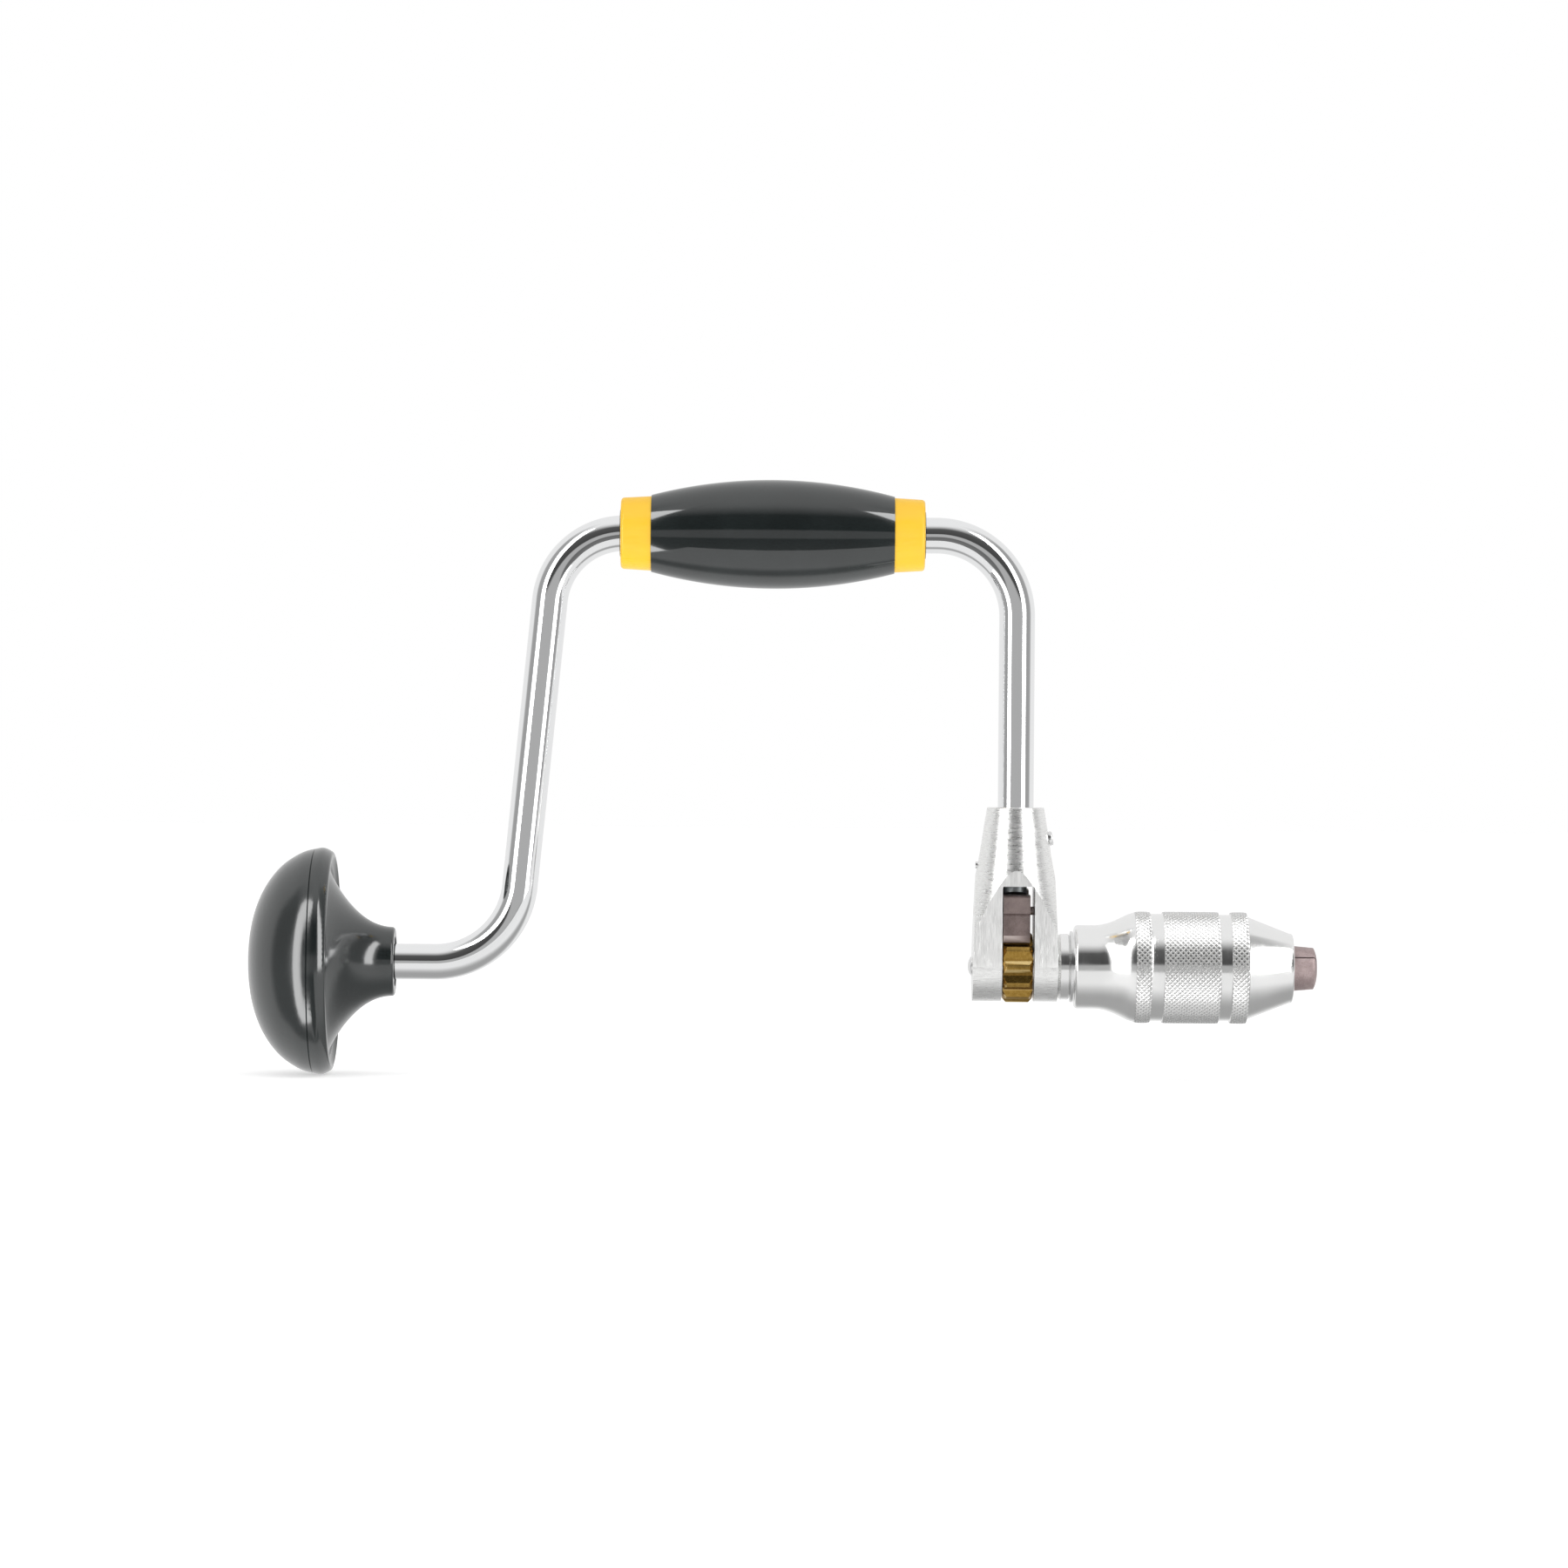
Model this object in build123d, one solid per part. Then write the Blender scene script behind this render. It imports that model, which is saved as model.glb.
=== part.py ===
"""Ratchet bit brace: cranked steel rod, spinning head and grip, reversible ratchet, two-jaw screw chuck.

Frame, in millimetres: +X is the drive axis, pointing out of the chuck.  +Z points from the drive axis
up to the grip.  The origin lies on the drive axis, in the plane of the jaw tips.
"""
import os
from math import cos, radians, sin

from build123d import *

# Crank
THROW = 152.4              # drive axis to grip axis: a 12 inch sweep
ROD_R = 6.35               # half-inch round rod
ARM_LEAN = 5.55            # degrees that the head-side arm leans from upright
ARM_CORNER_LOW = -285.1    # where the leaning arm's line meets the drive axis
CHUCK_ARM_X = -107.0       # upright arm above the ratchet
HEAD_BEND_R = 30.0
TOP_LEFT_BEND_R = 26.5
TOP_RIGHT_BEND_R = 28.5
ROD_HEAD_END = -350.0
ROD_YOKE_END = 33.5

# Fits
RUN = 0.06                 # radial clearance of a running fit
GAP = 0.3                  # clearance between faces that pass each other

# Head
DOME_APEX = -378.3
HEAD_SEAM = -355.0
HEAD_RIM_X = -351.3
HEAD_RIM_R = 40.1
DOME_POWER = 2.25          # exponents of the superellipse that crowns the dome, across it and along it
DOME_DEPTH_POWER = 2.0
SEAM_CUT = 0.22            # small chamfers that make the parting line
NECK_END = -326.5
NECK_R = 12.2
FLARE_END = -345.3         # the neck opens as a power of the distance from its mouth, as far as this
FLARE_R = 23.9
NECK_POWER = 2.2
NECK_ROUND = 1.0
HEAD_BORE_R = 8.8
HEAD_POCKET_END = -357.0
RACE_THICK = 1.4
RACE_R = 8.2
BALL_R = 2.0
BALL_COUNT = 8
BALL_RING_R = 5.6
BALL_PLAY = 0.05
CLIP_LEFT = -346.6
CLIP_RIGHT = -345.6
CLIP_BORE_R = 5.5
CLIP_R = 8.3
CLIP_MOUTH = 3.0
BUSH_LEFT = -345.1
BOSS_R = 10.5              # boss inside the cap that backs the bearing
CAP_INNER_APEX = -373.5
CAP_INNER_R = 35.5

# Grip
GRIP_LEFT = -236.8
GRIP_RIGHT = -150.7
GRIP_END_R = 13.7
GRIP_MID_R = 19.3
COLLAR_LENGTH = 10.8
COLLAR_SEAM_R = 13.2
COLLAR_END_R = 12.66
CORE_R = 8.3
CORE_BORE_R = 7.0
CORE_PROUD = 0.3
GRIP_BUSH_LENGTH = 15.0

# Ratchet yoke
YOKE_LEFT = -122.0
YOKE_RIGHT = -92.0
YOKE_TOP = 56.3
YOKE_BOTTOM = -12.4
YOKE_FLAT = 13.8           # the two ground faces stand this far each side of the drive axis
YOKE_TAPER = 0.028         # how much each side face leans in for every millimetre of height
SLOT_LEFT = -111.8
SLOT_RIGHT = -100.4
SLOT_TOP = 28.4
EAR_BORE_LEFT = 3.0
EAR_BORE_RIGHT = 7.5
PAWL_PIN_R = 1.5
PAWL_PIN_Z = 19.7
SPRING_POCKET_R = 4.26
SPRING_POCKET_TOP = 39.5
FLARE_TOP_R = 10.2
FLARE_TOP_ROUND = 0.6
FLARE_LOW_R = 20.4         # radius where the flare meets the ears
FLARE_LOW_Z = 11.0
DOWEL_R = 1.25
DOWEL_TIP = (CHUCK_ARM_X - 4.6, 0, 35.8)
DOWEL_HEAD = (CHUCK_ARM_X - 14.1, 0, 35.8)
SCREW_TILT = 9.0           # degrees that the lock screw leans up, square to the flared side
SCREW_SEAT = (CHUCK_ARM_X + 11.75, 0, 45.3)
SCREW_SHANK_R = 1.6
SCREW_SHANK_LENGTH = 5.0
SCREW_HEAD_R = 2.55
SCREW_HEAD_RISE = 1.5

# Ratchet wheel and pawl
TOOTH_COUNT = 12
WHEEL_TIP_R = 12.7
WHEEL_ROOT_R = 11.25
WHEEL_LAND = 1.7           # width of a tooth's flat top
WHEEL_LEFT = -111.4
WHEEL_RIGHT = -100.8
WHEEL_CHAMFER = 1.3
PAWL_LEFT = -111.4
PAWL_RIGHT = -101.9
PAWL_SWING = 6.5           # degrees from neutral to either engaged position
PLUNGER_R = 4.2
PLUNGER_TIP = 25.25
PLUNGER_NOSE = 1.3         # height of the plunger's blunt wedge
PLUNGER_TOP = 32.0

# Spindle and chuck
SPINDLE_R = 10.0
SPINDLE_FRONT = -36.0
SPINDLE_TAIL = -122.3
END_SCREW_R = 1.5
END_SCREW_HEAD_R = 3.5
END_SCREW_TIP = -112.0
WHEEL_PIN_R = 1.25
WHEEL_PIN_HALF = 10.9
WHEEL_PIN_TURN = 75        # degrees from +Y, so that both ends open in a notch
WHEEL_SEAT_R = 6.0
COLLAR_LEFT = -91.7
COLLAR_RIGHT = -87.4
COLLAR_R = 11.7
DUST_RING_R = 12.6
SHELL_REAR = -86.0
SHELL_FRONT = -8.5
SHELL_REAR_R = 14.8
KNURL_R = 19.75
GROOVE_R = 18.8
NOSE_R = 11.9
NOSE_BACK_R = 18.2
NOSE_BACK_X = -24.7
MOUTH_R = 9.6
CONE_SLOPE = 0.265         # radius gained for every millimetre back from the mouth
CAVITY_R = 14.4
CAVITY_REAR = -44.0
CUP_FRONT = -15.0
CUP_REAR = -26.0
CUP_WALL = 1.2
CUP_PLAY = 0.1

# Jaws
SPLIT_TILT = 33.0          # degrees that the split between the jaws is turned about the drive axis
SPLIT_GAP = 0.5
JAW_TIP_R = 7.35
JAW_TIP_ROUND = 1.2
JAW_FACE_R = 3.4
JAW_FLAT = 7.4             # the ground sides of the jaws stand this far from the axis
JAW_SHOULDER_R = 12.2
JAW_BACK = -35.6
JAW_TAIL_END = -42.6
JAW_TAIL_R = 6.9
JAW_TAIL_HALF = 4.5
CHANNEL_R = 3.2
CHANNEL_DEPTH = 20.0
JAW_SPRING_X = -31.0
JAW_SPRING_LENGTH = 9.4


def turned(*outline):
    """Solid turned about the drive axis from (x, radius) corners."""
    wire = Polyline(*[(x, 0, r) for x, r in outline], close=True)
    return revolve(make_face(wire), axis=Axis.X)


def turned_from(*edges):
    """Solid turned about the drive axis from a closed chain of edges in the XZ plane."""
    return revolve(make_face(list(edges)), axis=Axis.X)


def line(x0, r0, x1, r1):
    """Straight edge in the XZ plane."""
    return Line((x0, 0, r0), (x1, 0, r1))


def rod_along(start, end, radius):
    """Round bar between two points."""
    axis = Vector(*end) - Vector(*start)
    plane = Plane(origin=start, z_dir=axis)
    return plane * Cylinder(radius, axis.length, align=(Align.CENTER, Align.CENTER, Align.MIN))


def box_between(low, high):
    """Box given by its two opposite corners."""
    size = [high[i] - low[i] for i in range(3)]
    middle = [(high[i] + low[i]) / 2 for i in range(3)]
    return Pos(*middle) * Box(*size)


def coil_spring(radius, wire_r, pitch, length):
    """Open coil spring standing on the XY plane."""
    path = Helix(pitch=pitch, height=length - 2 * wire_r, radius=radius)
    section = Plane(origin=path @ 0, z_dir=path % 0) * Circle(wire_r)
    return Pos(0, 0, wire_r) * sweep(section, path=path, is_frenet=True)


def ring_about_axis(x0, x1, inner, outer):
    """Plain ring on the drive axis."""
    return turned((x0, inner), (x1, inner), (x1, outer), (x0, outer))


# ---------------------------------------------------------------- crank and ratchet yoke

def crank_frame():
    """Bent rod: head end, leaning arm, grip run, upright arm."""
    lean = sin(radians(ARM_LEAN)) / cos(radians(ARM_LEAN))
    corner_high = ARM_CORNER_LOW + THROW * lean
    path = FilletPolyline(
        (ROD_HEAD_END, 0, 0),
        (ARM_CORNER_LOW, 0, 0),
        (corner_high, 0, THROW),
        (CHUCK_ARM_X, 0, THROW),
        (CHUCK_ARM_X, 0, ROD_YOKE_END),
        radius=(HEAD_BEND_R, TOP_LEFT_BEND_R, TOP_RIGHT_BEND_R),
    )
    rod = sweep(Plane(origin=path @ 0, z_dir=path % 0) * Circle(ROD_R), path=path)
    clip_groove = ring_about_axis(CLIP_LEFT - 0.1, CLIP_RIGHT + 0.1, CLIP_BORE_R, ROD_R + 1)
    spring_hole = rod_along(
        (CHUCK_ARM_X, 0, ROD_YOKE_END - 1), (CHUCK_ARM_X, 0, SPRING_POCKET_TOP), SPRING_POCKET_R)
    dowel_hole = rod_along(DOWEL_TIP, DOWEL_HEAD, DOWEL_R)
    return rod - clip_groove - spring_hole - dowel_hole


def screw_direction():
    """Unit vector out along the lock screw."""
    return Vector(cos(radians(SCREW_TILT)), 0, sin(radians(SCREW_TILT)))


def ratchet_yoke():
    """Forged socket for the rod that flares into two ears round the ratchet wheel."""
    brim_r = FLARE_TOP_R - FLARE_TOP_ROUND
    brim_z = YOKE_TOP - FLARE_TOP_ROUND
    skirt_r = FLARE_LOW_R + 2.6
    skirt_z = YOKE_BOTTOM - 1
    flare_edge = Spline(
        (FLARE_TOP_R, 0, brim_z), (10.95, 0, 51.0), (14.0, 0, 33.0), (FLARE_LOW_R, 0, FLARE_LOW_Z),
        tangents=[(0.13, 0, -1), (0.3, 0, -1)],
    )
    flare = revolve(
        make_face([
            Line((0, 0, YOKE_TOP), (brim_r, 0, YOKE_TOP)),
            ThreePointArc(
                (brim_r, 0, YOKE_TOP),
                (brim_r + FLARE_TOP_ROUND * 0.7, 0, brim_z + FLARE_TOP_ROUND * 0.7),
                (FLARE_TOP_R, 0, brim_z),
            ),
            flare_edge,
            Line((FLARE_LOW_R, 0, FLARE_LOW_Z), (skirt_r, 0, skirt_z)),
            Line((skirt_r, 0, skirt_z), (0, 0, skirt_z)),
            Line((0, 0, skirt_z), (0, 0, YOKE_TOP)),
        ]),
        axis=Axis.Z,
    )
    half = (YOKE_RIGHT - YOKE_LEFT) / 2
    top_half = half - YOKE_TAPER * YOKE_TOP
    front = Polyline(
        (-half, 0, YOKE_BOTTOM), (half, 0, YOKE_BOTTOM), (half, 0, 0),
        (top_half, 0, YOKE_TOP), (-top_half, 0, YOKE_TOP), (-half, 0, 0), close=True,
    )
    slab = extrude(make_face(front), amount=YOKE_FLAT, dir=(0, 1, 0), both=True)
    ear_centre = YOKE_BOTTOM + YOKE_FLAT
    ear_end = rod_along((-half - 1, 0, ear_centre), (half + 1, 0, ear_centre), YOKE_FLAT)
    upper = box_between((-half - 1, -YOKE_FLAT, ear_centre), (half + 1, YOKE_FLAT, YOKE_TOP))
    body = Pos(CHUCK_ARM_X, 0, 0) * (flare & slab & (ear_end + upper))
    slot = box_between(
        (SLOT_LEFT, -YOKE_FLAT - 1, YOKE_BOTTOM - 1), (SLOT_RIGHT, YOKE_FLAT + 1, SLOT_TOP))
    rod_hole = rod_along((CHUCK_ARM_X, 0, ROD_YOKE_END), (CHUCK_ARM_X, 0, YOKE_TOP + 1), ROD_R)
    plunger_hole = rod_along(
        (CHUCK_ARM_X, 0, SLOT_TOP - 1), (CHUCK_ARM_X, 0, ROD_YOKE_END + 1), SPRING_POCKET_R)
    left_bore = rod_along((YOKE_LEFT - 1, 0, 0), (SLOT_LEFT + 1, 0, 0), EAR_BORE_LEFT + RUN)
    right_bore = rod_along((SLOT_RIGHT - 1, 0, 0), (YOKE_RIGHT + 1, 0, 0), EAR_BORE_RIGHT + RUN)
    pawl_pin_hole = rod_along(
        (YOKE_LEFT - 1, 0, PAWL_PIN_Z), (YOKE_RIGHT + 1, 0, PAWL_PIN_Z), PAWL_PIN_R)
    dowel_hole = rod_along(DOWEL_TIP, (YOKE_LEFT - 1, 0, DOWEL_HEAD[2]), DOWEL_R)
    seat = Vector(*SCREW_SEAT)
    out = screw_direction()
    screw_hole = rod_along(seat - out * (SCREW_SHANK_LENGTH + 1.5), seat + out * 2, SCREW_SHANK_R)
    spot_face = rod_along(seat, seat + out * 3, SCREW_HEAD_R)
    return (body - slot - rod_hole - plunger_hole - left_bore - right_bore
            - pawl_pin_hole - dowel_hole - screw_hole - spot_face)


def lock_screw():
    """Pan-head screw through the yoke's side that stops short of the rod's far side."""
    seat = Vector(*SCREW_SEAT)
    out = screw_direction()
    shank = rod_along(seat - out * SCREW_SHANK_LENGTH, seat + out * 0.3, SCREW_SHANK_R)
    head = rod_along(seat, seat + out * SCREW_HEAD_RISE, SCREW_HEAD_R)
    head = fillet(head.edges().sort_by(Axis.X)[-1], 0.7)
    slot = Plane(origin=seat + out * SCREW_HEAD_RISE, z_dir=out) * Box(0.8, 6, 1.4)
    return shank + head - slot


def locating_dowel():
    """Plain pin pressed through the yoke's other side into the rod."""
    return rod_along(DOWEL_TIP, DOWEL_HEAD, DOWEL_R)


def pawl_pin():
    """Cross pin that the pawl rocks on, flush with the outside of both ears."""
    lean = YOKE_TAPER * PAWL_PIN_Z + 0.1
    return rod_along((YOKE_LEFT + lean, 0, PAWL_PIN_Z), (YOKE_RIGHT - lean, 0, PAWL_PIN_Z), PAWL_PIN_R)


# ---------------------------------------------------------------- reversing pawl

def pawl_rocker():
    """Rocking pawl with a nose on each side of the wheel and two thumb blocks on each face."""
    half = [
        (0, 25.1), (3.2, 24.0), (5.4, 24.0), (5.8, 26.3), (10.7, 26.3), (11.3, 25.7), (11.3, 20.2),
        (10.8, 19.7), (11.3, 19.2), (11.9, 12.4), (10.9, 9.9), (9.4, 9.4), (8.7, 11.75), (5.0, 13.9),
        (0, 14.6),
    ]
    outline = [(0, y, z) for y, z in half]
    outline += [(0, -y, z) for y, z in reversed(half[1:-1])]
    face = make_face(Polyline(*outline, close=True))
    rocker = Pos(PAWL_LEFT, 0, 0) * extrude(face, amount=PAWL_RIGHT - PAWL_LEFT, dir=(1, 0, 0))
    hole = rod_along((PAWL_LEFT - 1, 0, PAWL_PIN_Z), (PAWL_RIGHT + 1, 0, PAWL_PIN_Z), PAWL_PIN_R + RUN)
    rocker -= hole
    return rocker.rotate(Axis((0, 0, PAWL_PIN_Z), (1, 0, 0)), PAWL_SWING)


def detent_plunger():
    """Plunger with a wedge nose that presses down on the rocker's ridge."""
    stem = rod_along((CHUCK_ARM_X, 0, PLUNGER_TIP), (CHUCK_ARM_X, 0, PLUNGER_TOP), PLUNGER_R)
    reach = PLUNGER_R + 1
    rise = PLUNGER_NOSE / PLUNGER_R * reach
    left = CHUCK_ARM_X - reach
    face = make_face(Polyline(
        (left, 0, PLUNGER_TIP), (left, reach, PLUNGER_TIP + rise), (left, reach, PLUNGER_TOP + 1),
        (left, -reach, PLUNGER_TOP + 1), (left, -reach, PLUNGER_TIP + rise), close=True,
    ))
    return stem & extrude(face, amount=2 * reach, dir=(1, 0, 0))


def detent_spring():
    """Coil spring between the plunger and the bottom of the hole in the rod."""
    foot_z = PLUNGER_TOP + 0.15
    spring = coil_spring(3.2, 0.45, 1.8, SPRING_POCKET_TOP - 0.15 - foot_z)
    return Pos(CHUCK_ARM_X, 0, foot_z) * spring


# ---------------------------------------------------------------- head

def dome_radius(x):
    """Radius of the dome at x, on a superellipse from its apex to its rim."""
    reach = (HEAD_RIM_X - x) / (HEAD_RIM_X - DOME_APEX)
    return HEAD_RIM_R * (1 - reach ** DOME_DEPTH_POWER) ** (1 / DOME_POWER)


def dome_slope(x):
    """Radius that the dome gains for every millimetre towards its rim."""
    return (dome_radius(x + 0.01) - dome_radius(x - 0.01)) / 0.02


def head_cap():
    """Domed cap, hollow round a central boss that backs the thrust bearing."""
    edge = HEAD_SEAM - SEAM_CUT
    stations = [DOME_APEX + (edge - DOME_APEX) * (i / 8) ** 2 for i in range(9)]
    crown = Spline(
        *[(x, 0, dome_radius(x)) for x in stations],
        tangents=[(0, 0, 1), (1, 0, dome_slope(edge))],
    )
    inside = Spline(
        (HEAD_SEAM, 0, CAP_INNER_R), (-365.5, 0, 30.0), (CAP_INNER_APEX, 0, 13.5),
        tangents=[(-1, 0, 0), (-0.2, 0, -1)],
    )
    seam_r = dome_radius(edge)
    return turned_from(
        crown,
        line(edge, seam_r, HEAD_SEAM, seam_r - SEAM_CUT),
        line(HEAD_SEAM, seam_r - SEAM_CUT, HEAD_SEAM, CAP_INNER_R),
        inside,
        line(CAP_INNER_APEX, 13.5, CAP_INNER_APEX, BOSS_R),
        line(CAP_INNER_APEX, BOSS_R, HEAD_POCKET_END, BOSS_R),
        line(HEAD_POCKET_END, BOSS_R, HEAD_POCKET_END, 0),
        line(HEAD_POCKET_END, 0, DOME_APEX, 0),
    )


def neck_radius(x):
    """Radius of the flared neck at x."""
    reach = (NECK_END - x) / (NECK_END - FLARE_END)
    return NECK_R + (FLARE_R - NECK_R) * reach ** NECK_POWER


def head_body():
    """Rim, dished underside and flared neck, bored for the bearing."""
    edge = HEAD_SEAM + SEAM_CUT
    edge_r = dome_radius(edge)
    cut_r = dome_radius(HEAD_SEAM - SEAM_CUT) - SEAM_CUT
    rim = Spline(
        (edge, 0, edge_r), (HEAD_RIM_X - 0.4, 0, HEAD_RIM_R), (-349.5, 0, 39.1), (-348.4, 0, 37.0),
        tangents=[(1, 0, dome_slope(edge)), (0, 0, -1)],
    )
    neck_start = NECK_END - NECK_ROUND
    flare = [FLARE_END + (neck_start - FLARE_END) * i / 8 for i in range(9)]
    mouth_r = neck_radius(neck_start)
    dish = Spline(
        (-348.4, 0, 37.0), (-349.7, 0, 32.6), (-347.9, 0, 28.0),
        *[(x, 0, neck_radius(x)) for x in flare],
    )
    mouth = ThreePointArc(
        (neck_start, 0, mouth_r),
        (NECK_END - NECK_ROUND * 0.3, 0, mouth_r - NECK_ROUND * 0.3),
        (NECK_END, 0, mouth_r - NECK_ROUND),
    )
    return turned_from(
        line(HEAD_SEAM, cut_r, edge, edge_r),
        rim, dish, mouth,
        line(NECK_END, mouth_r - NECK_ROUND, NECK_END, HEAD_BORE_R),
        line(NECK_END, HEAD_BORE_R, HEAD_POCKET_END, HEAD_BORE_R),
        line(HEAD_POCKET_END, HEAD_BORE_R, HEAD_POCKET_END, BOSS_R),
        line(HEAD_POCKET_END, BOSS_R, HEAD_SEAM, BOSS_R),
        line(HEAD_SEAM, BOSS_R, HEAD_SEAM, cut_r),
    )


def head_bush():
    """Sleeve pressed into the neck that runs on the rod."""
    return ring_about_axis(BUSH_LEFT, NECK_END - 0.5, ROD_R + RUN, HEAD_BORE_R)


def head_circlip():
    """Open clip in the rod's groove that keeps the head on."""
    ring = ring_about_axis(CLIP_LEFT, CLIP_RIGHT, CLIP_BORE_R, CLIP_R)
    mouth = box_between((CLIP_LEFT - 1, -CLIP_MOUTH / 2, 2), (CLIP_RIGHT + 1, CLIP_MOUTH / 2, CLIP_R + 1))
    return ring - mouth


def rod_race():
    """Hard disc on the end of the rod."""
    return rod_along((ROD_HEAD_END - RACE_THICK, 0, 0), (ROD_HEAD_END, 0, 0), RACE_R)


def pad_race():
    """Hard disc at the bottom of the head's bore."""
    return rod_along((HEAD_POCKET_END, 0, 0), (HEAD_POCKET_END + RACE_THICK, 0, 0), RACE_R)


def ball_places():
    """Centres of the thrust balls."""
    x = ROD_HEAD_END - RACE_THICK - BALL_PLAY - BALL_R
    steps = [radians(360 / BALL_COUNT * i) for i in range(BALL_COUNT)]
    return [(x, BALL_RING_R * cos(a), BALL_RING_R * sin(a)) for a in steps]


def thrust_balls():
    """Ring of balls between the two discs."""
    return Compound(children=[Pos(*place) * Sphere(BALL_R) for place in ball_places()])


def bearing_cage():
    """Flat cage that spaces the balls."""
    x = ball_places()[0][0]
    cage = ring_about_axis(x - 0.8, x + 0.8, 2.6, 8.3)
    for _, y, z in ball_places():
        cage -= rod_along((x - 2, y, z), (x + 2, y, z), BALL_R)
    return cage


# ---------------------------------------------------------------- grip

def at_grip(part):
    """Moves a piece turned about the drive axis up to the grip's axis."""
    return Pos(0, 0, THROW) * part


def grip():
    """Barrel with a core tube that carries the end collars."""
    middle = (GRIP_LEFT + GRIP_RIGHT) / 2
    barrel = ThreePointArc(
        (GRIP_LEFT, 0, GRIP_END_R), (middle, 0, GRIP_MID_R), (GRIP_RIGHT, 0, GRIP_END_R))
    left = GRIP_LEFT - COLLAR_LENGTH - CORE_PROUD
    right = GRIP_RIGHT + COLLAR_LENGTH + CORE_PROUD
    body = turned_from(
        barrel,
        line(GRIP_RIGHT, GRIP_END_R, GRIP_RIGHT, CORE_R),
        line(GRIP_RIGHT, CORE_R, right, CORE_R),
        line(right, CORE_R, right, CORE_BORE_R),
        line(right, CORE_BORE_R, left, CORE_BORE_R),
        line(left, CORE_BORE_R, left, CORE_R),
        line(left, CORE_R, GRIP_LEFT, CORE_R),
        line(GRIP_LEFT, CORE_R, GRIP_LEFT, GRIP_END_R),
    )
    return at_grip(body)


def end_collar(seam_x, outward):
    """Tapered collar pushed on the core tube, with a rounded outer corner."""
    end_x = seam_x + outward * COLLAR_LENGTH
    round_r = 1.2
    corner = ThreePointArc(
        (end_x - outward * round_r, 0, COLLAR_END_R),
        (end_x - outward * round_r * 0.3, 0, COLLAR_END_R - round_r * 0.3),
        (end_x, 0, COLLAR_END_R - round_r),
    )
    body = turned_from(
        line(seam_x, COLLAR_SEAM_R, end_x - outward * round_r, COLLAR_END_R),
        corner,
        line(end_x, COLLAR_END_R - round_r, end_x, CORE_R),
        line(end_x, CORE_R, seam_x, CORE_R),
        line(seam_x, CORE_R, seam_x, COLLAR_SEAM_R),
    )
    return at_grip(body)


def grip_bush(start_x):
    """Plain bearing inside the core tube."""
    return at_grip(ring_about_axis(start_x, start_x + GRIP_BUSH_LENGTH, ROD_R + RUN, CORE_BORE_R))


# ---------------------------------------------------------------- spindle

def in_split_frame(part):
    """Turns a piece so that its Z points across the split between the jaws."""
    return part.rotate(Axis.X, -SPLIT_TILT)


def chuck_spindle():
    """Shaft through both ears, with a collar, a screwed core and a slot for the jaw tails."""
    shaft = turned(
        (SPINDLE_TAIL, 0), (SPINDLE_TAIL, EAR_BORE_LEFT), (WHEEL_LEFT, EAR_BORE_LEFT),
        (WHEEL_LEFT, WHEEL_SEAT_R),
        (WHEEL_RIGHT, WHEEL_SEAT_R), (WHEEL_RIGHT, EAR_BORE_RIGHT), (COLLAR_LEFT, EAR_BORE_RIGHT),
        (COLLAR_LEFT, COLLAR_R - 0.8), (COLLAR_LEFT + 0.8, COLLAR_R), (COLLAR_RIGHT - 0.8, COLLAR_R),
        (COLLAR_RIGHT, COLLAR_R - 0.8), (COLLAR_RIGHT, SPINDLE_R), (SPINDLE_FRONT, SPINDLE_R),
        (SPINDLE_FRONT, 0),
    )
    slot_half = JAW_TAIL_HALF + 0.1
    slot = box_between((JAW_TAIL_END - 0.4, -slot_half, -12), (SPINDLE_FRONT + 1, slot_half, 12))
    screw_hole = rod_along((SPINDLE_TAIL - 1, 0, 0), (END_SCREW_TIP, 0, 0), END_SCREW_R)
    return shaft - in_split_frame(slot) - wheel_pin() - screw_hole


def ratchet_wheel():
    """Toothed wheel with V notches and chamfered tooth ends."""
    blank = turned(
        (WHEEL_LEFT, WHEEL_SEAT_R), (WHEEL_LEFT, WHEEL_ROOT_R),
        (WHEEL_LEFT + WHEEL_CHAMFER, WHEEL_TIP_R), (WHEEL_RIGHT - WHEEL_CHAMFER, WHEEL_TIP_R),
        (WHEEL_RIGHT, WHEEL_ROOT_R), (WHEEL_RIGHT, WHEEL_SEAT_R),
    )
    pitch = 360 / TOOTH_COUNT
    half_land = WHEEL_LAND / 2 / WHEEL_TIP_R
    side_y = WHEEL_TIP_R * sin(radians(pitch / 2) - half_land)
    side_z = WHEEL_TIP_R * cos(radians(pitch / 2) - half_land)
    rise = (side_z - WHEEL_ROOT_R) / side_y
    notch_half = 3.4
    notch_top = WHEEL_ROOT_R + notch_half * rise
    notch_face = make_face(Polyline(
        (WHEEL_LEFT - 1, 0, WHEEL_ROOT_R), (WHEEL_LEFT - 1, notch_half, notch_top),
        (WHEEL_LEFT - 1, -notch_half, notch_top), close=True,
    ))
    notch = extrude(notch_face, amount=WHEEL_RIGHT - WHEEL_LEFT + 2, dir=(1, 0, 0))
    for i in range(TOOTH_COUNT):
        blank -= notch.rotate(Axis.X, pitch * (i + 0.5))
    return blank - wheel_pin()


def wheel_pin():
    """Pin across the wheel and the spindle, from notch to notch."""
    y = WHEEL_PIN_HALF * cos(radians(WHEEL_PIN_TURN))
    z = WHEEL_PIN_HALF * sin(radians(WHEEL_PIN_TURN))
    x = (WHEEL_LEFT + WHEEL_RIGHT) / 2
    return rod_along((x, -y, -z), (x, y, z), WHEEL_PIN_R)


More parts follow.
